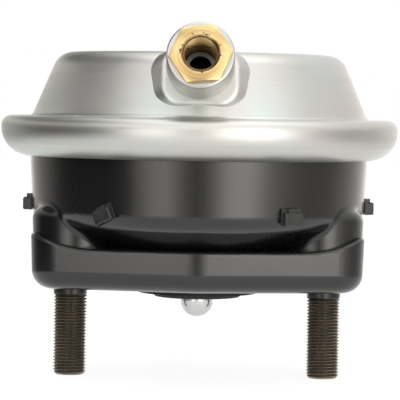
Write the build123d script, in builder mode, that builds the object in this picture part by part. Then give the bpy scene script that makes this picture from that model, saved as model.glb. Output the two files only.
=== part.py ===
"""Service diaphragm brake chamber with two mounting studs and a ball-ended push rod.

The origin is on the chamber's axis at the mounting face, +Z up, with the air port to the
front (-Y). All sizes are in millimetres and angles in degrees.
"""

import os
from math import asin, atan2, cos, degrees, radians, sin, tan

from build123d import *

# ---------------------------------------------------------------- driving dimensions

# Mounting studs and the plate that holds their heads
STUD_SPACING = 120.65
STUD_DIAMETER = 16.0
STUD_NECK_STEP = 0.5
STUD_REACH = 43.5
STUD_TIP_CHAMFER = 1.6
STUD_HEAD_DIAMETER = 22.0
STUD_HEAD_HEIGHT = 5.0
STUD_PLATE_THICKNESS = 6.0

# Lower body: a deep-drawn can on a rounded six-sided foot with a lobe over each corner
BODY_RADIUS = 80.0
BODY_TAPER = 1.5
BODY_WALL = 3.0
SHOULDER_HEIGHT = 31.0
SHOULDER_SLOPE = 28.0
SHOULDER_BEND = 9.0
FOOT_BEYOND_STUD = 16.0
FOOT_HALF_DEPTH = 61.4
FOOT_DRAFT = 2.0
FOOT_HEIGHT = 19.5
FOOT_SIDE_HEIGHT = 30.0
FOOT_FLAT_HALF_WIDTH = 48.0
FOOT_RISE_RADIUS = 58.0
FOOT_RISE_SWEEP = 40.0
FOOT_EDGE_RADIUS = 9.0
FOOT_TOP_RADIUS = 2.0
RIDGE_RADIUS = 24.0
CORNER_RADIUS = 14.4
CORNER_OFFSET = 35.3
LOBE_RADIUS = 18.0
LOBE_LEDGE = 2.6
LOBE_SIDE_LEDGE = 0.5
LOBE_HEIGHT = 39.0
LOBE_CROWN = 7.0
LOBE_BLEND = 4.0

# Crimped rim, where the cover is rolled round the body's flange
RIM_HEIGHT = 74.2
RIM_RISE = 5.5
RIM_CORNER_RADIUS = 5.0
CRIMP_RADIUS = 13.5
CRIMP_SETBACK = 0.5
CRIMP_SWEEP = 82.0
FLANGE_START = 12.0
FLANGE_END = 84.0
FLANGE_BEND = 1.4

# Pressed cover
COVER_SHEET = 2.8
COVER_HEIGHT = 109.6
COVER_CROWN = 1.2
COVER_BEND = 10.0
CONE_SLOPE = 22.9
CONE_SETIN = 1.0
CONE_FOOT_BEND = 2.4

# Air port: a raised pad, a steel boss and a brass threaded insert
PORT_TILT = 15.0
PORT_DROP = 6.65
PAD_WIDTH = 34.0
PAD_ABOVE = 9.8
PAD_BELOW = 17.0
PAD_STAND = 3.5
PAD_CORNER_RADIUS = 9.0
PAD_DEPTH = 12.0
PAD_SPREAD = 9.8
PAD_EDGE_RADIUS = 3.0
BOSS_RADIUS = 15.2
BOSS_LENGTH = 19.5
BOSS_EDGE_RADIUS = 1.2
SPIGOT_RADIUS = 12.6
SEAT_THICKNESS = 1.6
SEAT_HOLE_RADIUS = 5.2
INSERT_HEX = 25.0
INSERT_HEAD_HEIGHT = 3.0
INSERT_RADIUS = 10.4
INSERT_TURN = 6.0
PORT_BORE_RADIUS = 7.19
PORT_MOUTH_RADIUS = 8.75

# Diaphragm and piston
DIAPHRAGM_THICKNESS = 3.2
DIAPHRAGM_BEND = 11.0
PISTON_RADIUS = 56.0
PISTON_THICKNESS = 3.0
PISTON_LIP = 7.0
PISTON_BEND = 4.0

# Push rod, its socket and the bellows clip
ROD_DIAMETER = 15.5
ROD_REACH = 15.0
ROD_HEAD_RADIUS = 10.5
SOCKET_RADIUS = 15.0
SOCKET_ROOF = 1.2
SOCKET_HOLD = 6.4
RING_THICKNESS = 2.5
RING_PLAY = 1.15
CLIP_WALL = 3.0
CLIP_HEIGHT = 4.0
CLIP_DROP = 2.2

# Return spring
SPRING_WIRE = 5.0
SPRING_BASE_RADIUS = 38.0
SPRING_TOP_RADIUS = 22.0
SPRING_TURNS = 5.0

# Rod seal and bellows
SEAL_HOLE_RADIUS = 15.0
SEAL_NECK_WALL = 8.0
SEAL_LIP = 3.0
SEAL_LIP_THICKNESS = 2.5
SEAL_RADIUS = 28.0
SEAL_EDGE_THICKNESS = 3.4
SEAL_RECESS = 0.6
SEAL_BEAD_DROP = 2.0
SEAL_BEAD_WIDTH = 5.0
BELLOWS_WALL = 1.4
BELLOWS_FOLDS = 6
BELLOWS_RADIUS = 18.2
BELLOWS_FOLD_DEPTH = 4.0

# Drain plugs round the lower body
PLUG_HEIGHT = 35.2
PLUG_SIDE_HEIGHT = 37.8
PLUG_SPREAD = 31.5
PLUG_TURN = 25.0
PLUG_SHANK_RADIUS = 2.4
PLUG_TAB = 1.5
PLUG_PLATE_WIDTH = 10.2
PLUG_PLATE_HEIGHT = 7.6
PLUG_PLATE_THICKNESS = 1.0
PLUG_PLATE_RISE = 0.8
PLUG_BLOCK_WIDTH = 9.2
PLUG_BLOCK_HEIGHT = 5.8
PLUG_STAND = 4.0
PLUG_LATCH_WIDTH = 4.4
PLUG_LATCH_RISE = 1.7
PLUG_LATCH_STAND = 2.4
PLUG_CORNER_RADIUS = 0.6
PLUG_CHAMFER = 0.5

# Clearances
SEAM_GAP = 0.05
STUD_GAP = 0.05
INSERT_GAP = 0.05
PLATE_GAP = 0.3
SEAT_GAP = 0.3
RUBBER_GAP = 0.4
PLUG_GAP = 0.08

# ------------------------------------------------------------------ derived places

stud_radius = STUD_DIAMETER / 2
stud_neck_radius = stud_radius + STUD_NECK_STEP
stud_places = [(-STUD_SPACING / 2, 0), (STUD_SPACING / 2, 0)]
rod_radius = ROD_DIAMETER / 2

crimp_centre = (BODY_RADIUS + CRIMP_SETBACK, RIM_HEIGHT)
rim_radius = crimp_centre[0] + CRIMP_RADIUS
rim_top = RIM_HEIGHT + RIM_RISE
flange_radius = CRIMP_RADIUS - COVER_SHEET - SEAM_GAP
wall_end = RIM_HEIGHT - flange_radius - 2 * BODY_WALL
cone_base_radius = crimp_centre[0] - CONE_SETIN
cone_shrink = tan(radians(CONE_SLOPE))
cone_lean = 1 / cos(radians(CONE_SLOPE))
cone_top_radius = cone_base_radius - (COVER_HEIGHT - rim_top) * cone_shrink

crown_radius = cone_top_radius**2 / (2 * COVER_CROWN)
crown_sweep = degrees(asin(cone_top_radius * 2 / 3 / crown_radius))

foot_half_width = STUD_SPACING / 2 + FOOT_BEYOND_STUD
corner_x = foot_half_width - CORNER_RADIUS
corner_places = [(x, y) for x in (-corner_x, corner_x) for y in (-CORNER_OFFSET, CORNER_OFFSET)]
lobe_x = foot_half_width - LOBE_SIDE_LEDGE - LOBE_RADIUS
lobe_y = CORNER_OFFSET + CORNER_RADIUS - LOBE_LEDGE - LOBE_RADIUS

port_height = COVER_HEIGHT - PORT_DROP
pad_radius = cone_top_radius + PORT_DROP * cone_shrink + PAD_STAND
port_plane = Plane(
    origin=(0, -pad_radius, port_height),
    x_dir=(1, 0, 0),
    z_dir=(0, -cos(radians(PORT_TILT)), sin(radians(PORT_TILT))),
)

# each plug's angle round the body, its height and how far it is turned in its hole
plug_places = (
    (0, PLUG_SIDE_HEIGHT, 0),
    (90 - PLUG_SPREAD, PLUG_HEIGHT, 0),
    (90 + PLUG_SPREAD, PLUG_HEIGHT, 0),
    (180, PLUG_SIDE_HEIGHT, 0),
    (270 - PLUG_SPREAD, PLUG_HEIGHT, PLUG_TURN),
    (270 + PLUG_SPREAD, PLUG_HEIGHT, 0),
)
plug_top = PLUG_SIDE_HEIGHT + PLUG_PLATE_RISE + PLUG_PLATE_HEIGHT / 2
plug_seat = BODY_RADIUS + SEAM_GAP - BODY_TAPER * (wall_end - plug_top) / (wall_end - SHOULDER_HEIGHT)
plug_planes = [
    Plane(
        origin=(plug_seat * cos(radians(angle)), plug_seat * sin(radians(angle)), height),
        x_dir=(
            -sin(radians(angle)) * cos(radians(turn)),
            cos(radians(angle)) * cos(radians(turn)),
            sin(radians(turn)),
        ),
        z_dir=(cos(radians(angle)), sin(radians(angle)), 0),
    )
    for angle, height, turn in plug_places
]

diaphragm_top = COVER_HEIGHT - COVER_SHEET - RUBBER_GAP
piston_top = diaphragm_top - DIAPHRAGM_THICKNESS - SEAT_GAP
piston_floor = piston_top - PISTON_THICKNESS
socket_hollow_radius = ROD_HEAD_RADIUS + SEAT_GAP
socket_centre = piston_floor - SOCKET_ROOF - socket_hollow_radius
ring_top = socket_centre - SOCKET_HOLD
ring_floor = ring_top - RING_THICKNESS
clip_top = ring_floor - CLIP_DROP
clip_floor = clip_top - CLIP_HEIGHT

seal_neck_radius = SEAL_HOLE_RADIUS + SEAL_NECK_WALL
seal_lip_radius = seal_neck_radius + SEAL_LIP
seal_lip_top = BODY_WALL + SEAL_LIP_THICKNESS
stud_plate_top = BODY_WALL + STUD_PLATE_THICKNESS

# ------------------------------------------------------------------- shared shapes


def foot_form(inset, height):
    """Foot prism drawn in by inset: four round corners, soft ridges front and back."""
    ridge_y = FOOT_HALF_DEPTH - RIDGE_RADIUS
    with BuildPart() as foot:
        with BuildSketch(Plane.XY.offset(BODY_WALL if inset else 0)):
            with Locations(corner_places):
                Circle(CORNER_RADIUS - inset)
            with Locations((0, -ridge_y), (0, ridge_y)):
                Circle(RIDGE_RADIUS - inset)
            make_hull()
        extrude(amount=height, taper=-FOOT_DRAFT)
        fillet(foot.faces().sort_by(Axis.Z)[0].edges(), FOOT_EDGE_RADIUS - inset)
    return foot.part


def upper_form(inset):
    """Can above the foot, drawn in by inset: wall, shoulder cone and corner lobes."""
    slope = tan(radians(SHOULDER_SLOPE))
    wall_top = BODY_RADIUS - inset
    wall_foot = wall_top - BODY_TAPER
    shoulder_height = SHOULDER_HEIGHT + inset * (1 / cos(radians(SHOULDER_SLOPE)) - slope)
    base = inset + FOOT_EDGE_RADIUS
    base_radius = wall_foot - (shoulder_height - base) / slope
    with BuildPart() as lobes:
        for side in (-lobe_x, lobe_x):
            with BuildSketch():
                with Locations((side, -lobe_y), (side, lobe_y)):
                    Circle(LOBE_RADIUS - inset)
                make_hull()
            extrude(amount=LOBE_HEIGHT - inset, taper=-FOOT_DRAFT)
        fillet(lobes.edges().group_by(Axis.Z)[-1], LOBE_CROWN - inset)
        split(bisect_by=Plane.XY.offset(base), keep=Keep.TOP)
    with BuildPart() as form:
        with BuildSketch(Plane.XZ):
            with BuildLine():
                Polyline(
                    (0, base),
                    (base_radius, base),
                    (wall_foot, shoulder_height),
                    (wall_top, wall_end),
                    (0, wall_end),
                    close=True,
                )
            make_face()
        revolve(axis=Axis.Z)
        bend = form.edges().filter_by(lambda e: abs(e.center().Z - shoulder_height) < SEAM_GAP)
        fillet(bend, SHOULDER_BEND - inset)
        add(lobes.part)
        if not inset:
            creases = form.edges(Select.NEW).filter_by_position(Axis.Z, base + SEAM_GAP, LOBE_HEIGHT)
            fillet(creases, LOBE_BLEND)
    return form.part


def pad_form(inset):
    """Raised pad round the port, drawn in by inset: sides and foot spread as they go in."""
    with BuildPart() as form:
        for depth, spread in ((inset, 0), (inset + PAD_DEPTH, PAD_SPREAD)):
            with BuildSketch(port_plane.offset(-depth)):
                with Locations((0, (PAD_ABOVE - PAD_BELOW - spread) / 2)):
                    RectangleRounded(
                        PAD_WIDTH + 2 * (spread - inset),
                        PAD_ABOVE + PAD_BELOW + spread - 2 * inset,
                        PAD_CORNER_RADIUS + spread / 2 - inset,
                    )
        loft()
    return form.part


# ------------------------------------------------------------------------ lower body

with BuildPart() as foot:
    add(foot_form(0, FOOT_SIDE_HEIGHT))
    with BuildSketch(Plane.XZ):
        with BuildLine():
            flat = Line((-FOOT_FLAT_HALF_WIDTH, FOOT_HEIGHT), (FOOT_FLAT_HALF_WIDTH, FOOT_HEIGHT))
            right = JernArc(flat @ 1, (1, 0), FOOT_RISE_RADIUS, FOOT_RISE_SWEEP)
            left = JernArc(flat @ 0, (-1, 0), FOOT_RISE_RADIUS, -FOOT_RISE_SWEEP)
            Polyline(right @ 1, ((right @ 1).X, 0), ((left @ 1).X, 0), left @ 1)
        make_face()
    extrude(amount=2 * FOOT_HALF_DEPTH, both=True, mode=Mode.INTERSECT)
    top_edges = foot.faces().filter_by(lambda face: face.normal_at().Z > 0.3).edges()
    fillet(top_edges.filter_by(lambda edge: abs(edge.center().Y) > CORNER_OFFSET), FOOT_TOP_RADIUS)

with BuildPart() as body:
    add(foot.part)
    add(upper_form(0))
    add(foot_form(BODY_WALL, FOOT_HEIGHT - 2 * BODY_WALL), mode=Mode.SUBTRACT)
    add(upper_form(BODY_WALL), mode=Mode.SUBTRACT)
    # flange that flares out at the top to carry the diaphragm's bead
    with BuildSketch(Plane.XZ):
        with BuildLine():
            flange = CenterArc(
                crimp_centre, flange_radius - BODY_WALL / 2, -FLANGE_START, FLANGE_START - FLANGE_END
            )
            FilletPolyline(
                flange @ 1,
                (BODY_RADIUS - BODY_WALL / 2, (flange @ 1).Y - SEAM_GAP),
                (BODY_RADIUS - BODY_WALL / 2, wall_end),
                radius=FLANGE_BEND + BODY_WALL / 2,
            )
        trace(line_width=BODY_WALL)
    revolve(axis=Axis.Z)
    # shallow seat for the seal, then the holes for its neck, the studs and the drain plugs
    with BuildSketch():
        Circle(SEAL_RADIUS + RUBBER_GAP)
    extrude(amount=SEAL_RECESS, mode=Mode.SUBTRACT)
    with Locations((0, 0, 0)):
        Hole(seal_neck_radius + SEAM_GAP, depth=BODY_WALL)
    with Locations(stud_places):
        Hole(stud_neck_radius + STUD_GAP, depth=2 * BODY_WALL)
    with BuildSketch(*plug_planes):
        Circle(PLUG_SHANK_RADIUS + PLUG_GAP)
    extrude(amount=-2 * BODY_WALL, mode=Mode.SUBTRACT)
body.part.label = "body"

# ------------------------------------------------------------- studs and their plate

with BuildPart() as stud_plate:
    add(foot_form(BODY_WALL + PLATE_GAP, STUD_PLATE_THICKNESS))
    with Locations((0, 0, stud_plate_top)):
        Hole(seal_lip_radius + SEAT_GAP)
    with Locations([(x, y, stud_plate_top) for x, y in stud_places]):
        Hole(stud_neck_radius + STUD_GAP)
stud_plate.part.label = "stud_plate"

studs = []
for side, (x, y) in zip(("left", "right"), stud_places):
    with BuildPart() as stud:
        with BuildSketch(Plane.XY.offset(stud_plate_top)):
            with Locations((x, y)):
                Circle(STUD_HEAD_DIAMETER / 2)
        extrude(amount=STUD_HEAD_HEIGHT)
        with BuildSketch(Plane.XY.offset(stud_plate_top)):
            with Locations((x, y)):
                Circle(stud_neck_radius)
        extrude(amount=-stud_plate_top)
        with BuildSketch():
            with Locations((x, y)):
                Circle(stud_radius)
        extrude(amount=-STUD_REACH)
        chamfer(stud.edges().sort_by(Axis.Z)[0], STUD_TIP_CHAMFER)
    stud.part.label = f"stud_{side}"
    studs.append(stud.part)

# ----------------------------------------------------------------------------- cover

cavity_shift = COVER_SHEET * (cone_shrink - cone_lean)

with BuildPart() as pad:
    add(pad_form(0))
    fillet(pad.faces().sort_by(Axis.Y)[0].edges(), PAD_EDGE_RADIUS)
    with BuildSketch(Plane.XZ):
        with BuildLine():
            Polyline(
                (0, COVER_HEIGHT - COVER_SHEET),
                (cone_top_radius + cavity_shift, COVER_HEIGHT - COVER_SHEET),
                (cone_base_radius + cavity_shift, rim_top - COVER_SHEET),
                (cone_base_radius + cavity_shift, 0),
                (0, 0),
                close=True,
            )
        make_face()
    revolve(axis=Axis.Z, mode=Mode.SUBTRACT)

with BuildPart() as cover:
    with BuildSketch(Plane.XZ):
        with BuildLine():
            crown = JernArc((0, COVER_HEIGHT + COVER_CROWN), (1, 0), crown_radius, -crown_sweep)
            FilletPolyline(
                crown @ 1,
                (cone_top_radius, COVER_HEIGHT + COVER_CROWN / 9),
                (cone_base_radius, rim_top),
                (rim_radius, rim_top),
                (rim_radius, RIM_HEIGHT),
                radius=[COVER_BEND, CONE_FOOT_BEND, RIM_CORNER_RADIUS],
            )
            CenterArc(crimp_centre, CRIMP_RADIUS, 0, -CRIMP_SWEEP)
            offset(amount=COVER_SHEET, side=Side.RIGHT)
        make_face()
    revolve(axis=Axis.Z)
    add(pad.part)
    # hollow behind the pad and the hole for the boss
    add(pad_form(COVER_SHEET), mode=Mode.SUBTRACT)
    with BuildSketch(port_plane):
        Circle(SPIGOT_RADIUS + SEAM_GAP)
    extrude(amount=-COVER_SHEET, mode=Mode.SUBTRACT)
cover.part.label = "cover"

# -------------------------------------------------------------------------- air port

insert_depth = BOSS_LENGTH + COVER_SHEET - SEAT_THICKNESS

with BuildPart() as port_boss:
    with BuildSketch(port_plane):
        Circle(BOSS_RADIUS)
    extrude(amount=BOSS_LENGTH)
    fillet(port_boss.edges().filter_by(GeomType.CIRCLE).sort_by(Axis.Y)[0], BOSS_EDGE_RADIUS)
    with BuildSketch(port_plane):
        Circle(SPIGOT_RADIUS)
    extrude(amount=-COVER_SHEET)
    with BuildSketch(port_plane.offset(BOSS_LENGTH)):
        Circle(INSERT_RADIUS + INSERT_GAP)
    extrude(amount=-insert_depth, mode=Mode.SUBTRACT)
    with BuildSketch(port_plane):
        Circle(SEAT_HOLE_RADIUS)
    extrude(amount=-COVER_SHEET, mode=Mode.SUBTRACT)
port_boss.part.label = "port_boss"

with BuildPart() as port_insert:
    with BuildSketch(port_plane.offset(BOSS_LENGTH)):
        RegularPolygon(INSERT_HEX / 2, 6, major_radius=False, rotation=INSERT_TURN)
    extrude(amount=INSERT_HEAD_HEIGHT)
    with BuildSketch(port_plane.offset(BOSS_LENGTH)):
        Circle(INSERT_RADIUS)
    extrude(amount=-insert_depth)
    with Locations(port_plane.offset(BOSS_LENGTH + INSERT_HEAD_HEIGHT)):
        CounterSinkHole(PORT_BORE_RADIUS, PORT_MOUTH_RADIUS, counter_sink_angle=90)
port_insert.part.label = "port_insert"

# ------------------------------------------------------------------------- diaphragm

rubber_offset = COVER_SHEET + RUBBER_GAP + DIAPHRAGM_THICKNESS / 2
bead_radius = flange_radius - BODY_WALL - SEAM_GAP
bead_top = rim_top - COVER_SHEET - SEAM_GAP

with BuildPart() as diaphragm:
    with BuildSketch(Plane.XZ):
        with BuildLine():
            roof = diaphragm_top - DIAPHRAGM_THICKNESS / 2
            FilletPolyline(
                (0, roof),
                (cone_top_radius + (COVER_HEIGHT - roof) * cone_shrink - rubber_offset * cone_lean, roof),
                (cone_base_radius + (rim_top - RIM_HEIGHT) * cone_shrink - rubber_offset * cone_lean, RIM_HEIGHT),
                radius=DIAPHRAGM_BEND,
            )
        trace(line_width=DIAPHRAGM_THICKNESS)
        with BuildLine():
            under = CenterArc(crimp_centre, bead_radius, 0, -90)
            Polyline(
                under @ 1,
                (BODY_RADIUS - BODY_WALL - DIAPHRAGM_THICKNESS / 2, RIM_HEIGHT - DIAPHRAGM_THICKNESS),
                (cone_base_radius - rubber_offset * cone_lean, bead_top),
                (crimp_centre[0] + bead_radius, bead_top),
                under @ 0,
            )
        make_face()
    revolve(axis=Axis.Z)
diaphragm.part.label = "diaphragm"

# ------------------------------------------------------------ piston plate and socket

with BuildPart() as push_plate:
    with BuildSketch(Plane.XZ):
        with BuildLine():
            FilletPolyline(
                (0, piston_floor + PISTON_THICKNESS / 2),
                (PISTON_RADIUS - PISTON_THICKNESS / 2, piston_floor + PISTON_THICKNESS / 2),
                (PISTON_RADIUS - PISTON_THICKNESS / 2, piston_top - PISTON_LIP),
                radius=PISTON_BEND,
            )
        trace(line_width=PISTON_THICKNESS)
    revolve(axis=Axis.Z)
push_plate.part.label = "push_plate"

with BuildPart() as rod_socket:
    with BuildSketch(Plane.XY.offset(ring_top)):
        Circle(SOCKET_RADIUS)
    extrude(amount=piston_floor - ring_top)
    with BuildSketch(Plane.XY.offset(ring_top)):
        Circle(socket_hollow_radius)
    extrude(amount=socket_centre - ring_top, mode=Mode.SUBTRACT)
    with Locations((0, 0, socket_centre)):
        Sphere(socket_hollow_radius, mode=Mode.SUBTRACT)
rod_socket.part.label = "rod_socket"

with BuildPart() as socket_ring:
    with BuildSketch(Plane.XY.offset(ring_floor)):
        Circle(SOCKET_RADIUS)
        Circle(rod_radius + RING_PLAY, mode=Mode.SUBTRACT)
    extrude(amount=RING_THICKNESS)
socket_ring.part.label = "socket_ring"

# --------------------------------------------------------------- push rod and bellows

with BuildPart() as push_rod:
    with BuildSketch():
        Circle(rod_radius)
    extrude(amount=socket_centre)
    extrude(push_rod.faces().sort_by(Axis.Z)[0], amount=ROD_REACH - rod_radius)
    with Locations((0, 0, rod_radius - ROD_REACH)):
        Sphere(rod_radius)
    with Locations((0, 0, socket_centre)):
        Sphere(ROD_HEAD_RADIUS)
push_rod.part.label = "push_rod"

with BuildPart() as bellows_clip:
    with BuildSketch(Plane.XY.offset(clip_floor)):
        Circle(rod_radius + SEAM_GAP + CLIP_WALL)
        Circle(rod_radius + SEAM_GAP, mode=Mode.SUBTRACT)
    extrude(amount=CLIP_HEIGHT)
bellows_clip.part.label = "bellows_clip"

collar_low = seal_lip_top + SEAM_GAP + BELLOWS_WALL / 2
collar_high = clip_floor - SEAM_GAP - BELLOWS_WALL / 2
fold_height = (collar_high - collar_low) / (2 * BELLOWS_FOLDS)
fold_radii = (BELLOWS_RADIUS + BELLOWS_FOLD_DEPTH / 2, BELLOWS_RADIUS - BELLOWS_FOLD_DEPTH / 2)
fold_points = [(fold_radii[step % 2], collar_low + step * fold_height) for step in range(2 * BELLOWS_FOLDS)]

with BuildPart() as bellows:
    with BuildSketch(Plane.XZ):
        with BuildLine():
            Polyline(
                (SEAL_HOLE_RADIUS + BELLOWS_WALL / 2, collar_low),
                *fold_points,
                (rod_radius + CLIP_WALL + BELLOWS_WALL, collar_high),
                (rod_radius + BELLOWS_WALL, collar_high),
            )
        trace(line_width=BELLOWS_WALL)
    revolve(axis=Axis.Z)
bellows.part.label = "bellows"

with BuildPart() as rod_seal:
    with BuildSketch(Plane.XZ):
        with BuildLine():
            bead_width = SEAL_HOLE_RADIUS + SEAL_BEAD_WIDTH
            Polyline(
                (SEAL_HOLE_RADIUS, seal_lip_top),
                (SEAL_HOLE_RADIUS, -SEAL_EDGE_THICKNESS - SEAL_BEAD_DROP),
                (bead_width, -SEAL_EDGE_THICKNESS - SEAL_BEAD_DROP),
                (bead_width + SEAL_BEAD_DROP, -SEAL_EDGE_THICKNESS),
                (SEAL_RADIUS, -SEAL_EDGE_THICKNESS),
                (SEAL_RADIUS, SEAL_RECESS),
                (seal_neck_radius, SEAL_RECESS),
                (seal_neck_radius, BODY_WALL),
                (seal_lip_radius, BODY_WALL),
                (seal_lip_radius, seal_lip_top),
                close=True,
            )
        make_face()
    revolve(axis=Axis.Z)
    rims = rod_seal.edges().filter_by(GeomType.CIRCLE).group_by(Axis.Z)[0]
    fillet(rims, SEAL_BEAD_DROP / 2)
rod_seal.part.label = "rod_seal"

# --------------------------------------------------------------------- return spring

spring_low = stud_plate_top + SPRING_WIRE / 2 + SEAM_GAP
spring_high = piston_floor - SPRING_WIRE / 2 - SEAM_GAP

with BuildPart() as return_spring:
    with BuildLine():
        coil = Helix(
            pitch=(spring_high - spring_low) / SPRING_TURNS,
            height=spring_high - spring_low,
            radius=SPRING_BASE_RADIUS,
            center=(0, 0, spring_low),
            cone_angle=-degrees(atan2(SPRING_BASE_RADIUS - SPRING_TOP_RADIUS, spring_high - spring_low)),
        )
    with BuildSketch(Plane(origin=coil @ 0, z_dir=coil % 0)):
        Circle(SPRING_WIRE / 2)
    sweep()
return_spring.part.label = "return_spring"

# ----------------------------------------------------------------------- drain plugs

plugs = []
for number, plane in enumerate(plug_planes, start=1):
    with BuildPart() as plug:
        with BuildSketch(plane):
            RectangleRounded(PLUG_BLOCK_WIDTH, PLUG_BLOCK_HEIGHT, PLUG_CORNER_RADIUS)
        extrude(amount=PLUG_STAND)
        chamfer(plug.faces().sort_by(Axis(plane.origin, plane.z_dir))[-1].edges(), PLUG_CHAMFER)
        with BuildSketch(plane):
            with Locations((0, PLUG_BLOCK_HEIGHT / 2)):
                Rectangle(PLUG_LATCH_WIDTH, 2 * PLUG_LATCH_RISE)
        extrude(amount=PLUG_LATCH_STAND)
        with BuildSketch(plane):
            with Locations((0, PLUG_PLATE_RISE)):
                Rectangle(PLUG_PLATE_WIDTH, PLUG_PLATE_HEIGHT)
        extrude(amount=PLUG_PLATE_THICKNESS)
        with BuildSketch(plane):
            Circle(PLUG_SHANK_RADIUS)
        extrude(amount=-BODY_WALL - PLUG_TAB)
    plug.part.label = f"plug_{number}"
    plugs.append(plug.part)

# ------------------------------------------------------------------------------ files

pieces = [
    body.part,
    stud_plate.part,
    *studs,
    cover.part,
    port_boss.part,
    port_insert.part,
    diaphragm.part,
    push_plate.part,
    rod_socket.part,
    socket_ring.part,
    push_rod.part,
    bellows_clip.part,
    bellows.part,
    rod_seal.part,
    return_spring.part,
    *plugs,
]

os.makedirs("parts", exist_ok=True)
for piece in pieces:
    export_step(piece, f"parts/{piece.label}.step")
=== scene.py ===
"""Finishes, threads, spring, soft pieces and studio for a diaphragm brake chamber.

Everything is in metres in the model's own frame: the origin is on the chamber's axis at the
mounting face, +Z up, with the air port to the front (-Y).
"""

from math import cos, pi, radians, sin, tan

import bmesh
import bpy
from mathutils import Matrix, Quaternion, Vector
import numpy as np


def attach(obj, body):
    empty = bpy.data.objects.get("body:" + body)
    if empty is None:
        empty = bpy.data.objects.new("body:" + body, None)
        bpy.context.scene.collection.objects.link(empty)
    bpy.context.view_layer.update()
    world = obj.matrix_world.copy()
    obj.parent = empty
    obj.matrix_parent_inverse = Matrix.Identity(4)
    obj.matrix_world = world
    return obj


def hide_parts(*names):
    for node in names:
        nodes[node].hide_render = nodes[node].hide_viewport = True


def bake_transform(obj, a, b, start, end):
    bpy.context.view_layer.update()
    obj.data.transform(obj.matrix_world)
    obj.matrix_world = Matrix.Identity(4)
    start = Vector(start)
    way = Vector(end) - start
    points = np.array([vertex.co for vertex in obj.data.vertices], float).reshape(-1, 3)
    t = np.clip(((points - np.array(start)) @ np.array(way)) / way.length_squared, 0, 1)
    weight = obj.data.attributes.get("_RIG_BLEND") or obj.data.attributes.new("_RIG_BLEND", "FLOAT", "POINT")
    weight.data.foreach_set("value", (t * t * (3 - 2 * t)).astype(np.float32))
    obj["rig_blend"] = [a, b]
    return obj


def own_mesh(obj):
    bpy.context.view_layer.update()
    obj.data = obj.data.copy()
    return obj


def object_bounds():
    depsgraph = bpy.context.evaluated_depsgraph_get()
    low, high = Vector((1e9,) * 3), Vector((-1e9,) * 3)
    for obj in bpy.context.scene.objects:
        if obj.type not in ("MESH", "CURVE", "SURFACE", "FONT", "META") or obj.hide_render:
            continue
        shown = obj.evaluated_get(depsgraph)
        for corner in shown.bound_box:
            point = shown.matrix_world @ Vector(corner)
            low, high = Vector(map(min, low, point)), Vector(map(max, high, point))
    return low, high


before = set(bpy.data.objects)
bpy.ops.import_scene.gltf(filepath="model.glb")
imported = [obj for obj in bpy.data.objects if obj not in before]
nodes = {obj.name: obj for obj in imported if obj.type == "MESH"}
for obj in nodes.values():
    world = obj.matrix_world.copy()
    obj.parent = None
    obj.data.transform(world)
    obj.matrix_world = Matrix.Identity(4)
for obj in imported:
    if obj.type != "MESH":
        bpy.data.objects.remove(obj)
cad_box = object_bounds()

# ------------------------------------------------------------------------------ sizes

MM = 0.001

PORT_TILT = radians(15)
PORT_AXIS_TILT = PORT_TILT - pi / 2
STUD_PLACES = {"left": -60.325 * MM, "right": 60.325 * MM}
STUD_RADIUS = 8.0 * MM
STUD_REACH = 43.5 * MM
STUD_PLAIN = 6.2 * MM
STUD_NECK_RADIUS = 8.5 * MM
STUD_HEAD_RADIUS = 11.0 * MM
STUD_SEAT = 9.0 * MM
STUD_TOP = 14.0 * MM
STUD_TIP_RADIUS = 6.4 * MM
THREAD_PITCH = 1.5 * MM
THREAD_DEPTH = 0.92 * MM
THREAD_STEPS = 72
THREAD_ROWS_PER_TURN = 8
# shares of half a pitch: the crest's flat ends at the first, the root's flat starts at the second
THREAD_CREST_SHARE = 0.125
THREAD_ROOT_SHARE = 0.75

# the port's own origin is on the pad's face, and its axis leans up by the tilt
PORT_ORIGIN = Vector((0, -73.18, 102.95)) * MM
BOSS_LENGTH = 19.5 * MM
INSERT_HEAD = 3.0 * MM
INSERT_HEX = 25.0 * MM
INSERT_FACE_RADIUS = 12.2 * MM
INSERT_TURN = radians(6)
INSERT_RADIUS = 10.4 * MM
INSERT_TAIL = -1.2 * MM
BORE_RADIUS = 7.19 * MM
BORE_THREAD_DEPTH = 0.81 * MM
MOUTH_RADIUS = 8.75 * MM

SPRING_WIRE = 5.0 * MM
SPRING_RADII = (38 * MM, 22 * MM)
SPRING_ENDS = (11.55 * MM, 97.35 * MM)
SPRING_TURNS = 5.0

DIAPHRAGM_THICKNESS = 3.2 * MM
DIAPHRAGM_CLAMP = 74.2 * MM

BELLOWS_ENDS = (6.25 * MM, 72.05 * MM)
BELLOWS_WALL = 1.4 * MM
BELLOWS_FOLDS = 6
BELLOWS_RADII = (20.2 * MM, 16.2 * MM)
BELLOWS_MOUTHS = (15.7 * MM, 9.15 * MM)
BELLOWS_NECK_RADIUS = 10.75 * MM

POINT_MERGE = 0.002 * MM
SHARP_EDGE = radians(40)

# ------------------------------------------------------------------------ node building


def put(tree, kind, settings=None, sockets=None):
    """Adds a node. A socket given another node's output is linked, any other value is set."""
    node = tree.nodes.new(kind)
    for name, value in (settings or {}).items():
        setattr(node, name, value)
    for name, value in (sockets or {}).items():
        if isinstance(value, bpy.types.NodeSocket):
            tree.links.new(value, node.inputs[name])
        else:
            node.inputs[name].default_value = value
    return node


def calc(tree, operation, *values):
    """One step of arithmetic on numbers."""
    return put(tree, "ShaderNodeMath", {"operation": operation}, dict(enumerate(values))).outputs[0]


def spread(tree, value, low, high, to_low=0.0, to_high=1.0):
    """Maps a value from one range to another and keeps it inside."""
    given = {0: value, 1: low, 2: high, 3: to_low, 4: to_high}
    return put(tree, "ShaderNodeMapRange", None, given).outputs[0]


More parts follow.
